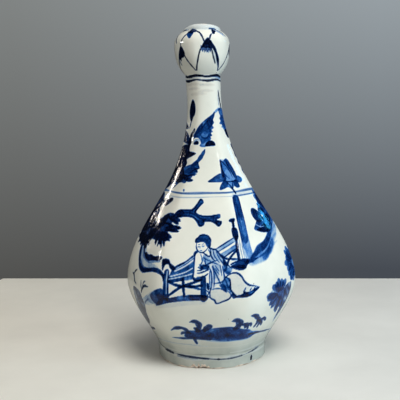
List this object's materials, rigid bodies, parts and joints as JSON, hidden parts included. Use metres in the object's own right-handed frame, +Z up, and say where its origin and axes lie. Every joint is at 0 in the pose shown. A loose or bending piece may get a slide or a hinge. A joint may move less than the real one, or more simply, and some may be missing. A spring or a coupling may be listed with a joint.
{
  "type": "garlic head vase",
  "caption": "Six-sided pear-shaped porcelain bottle vase on a round foot, with a slim neck and a garlic-bulb head round a small mouth, painted in underglaze blue.",
  "frame": {"origin": "centre of the foot ring's resting edge, on the surface that the vase stands on", "axes": "+Z up along the vase's axis, -Y square to the painted front side, +X along a ridge between two sides"},
  "size_m": [0.1504, 0.1384, 0.29],
  "materials": {
    "glaze": "gloss, underglaze blue painting",
    "foot": "gloss, with a bare resting edge",
    "slip": "matt"
  },
  "bodies": {
    "root": {"foot_ring": "foot", "foot_slip": "slip", "lower_body": "glaze", "belly_slip": "slip", "upper_body": "glaze", "shoulder_slip": "slip", "neck": "glaze", "collar_slip": "slip", "garlic_head": "glaze"}
  },
  "joints": []
}
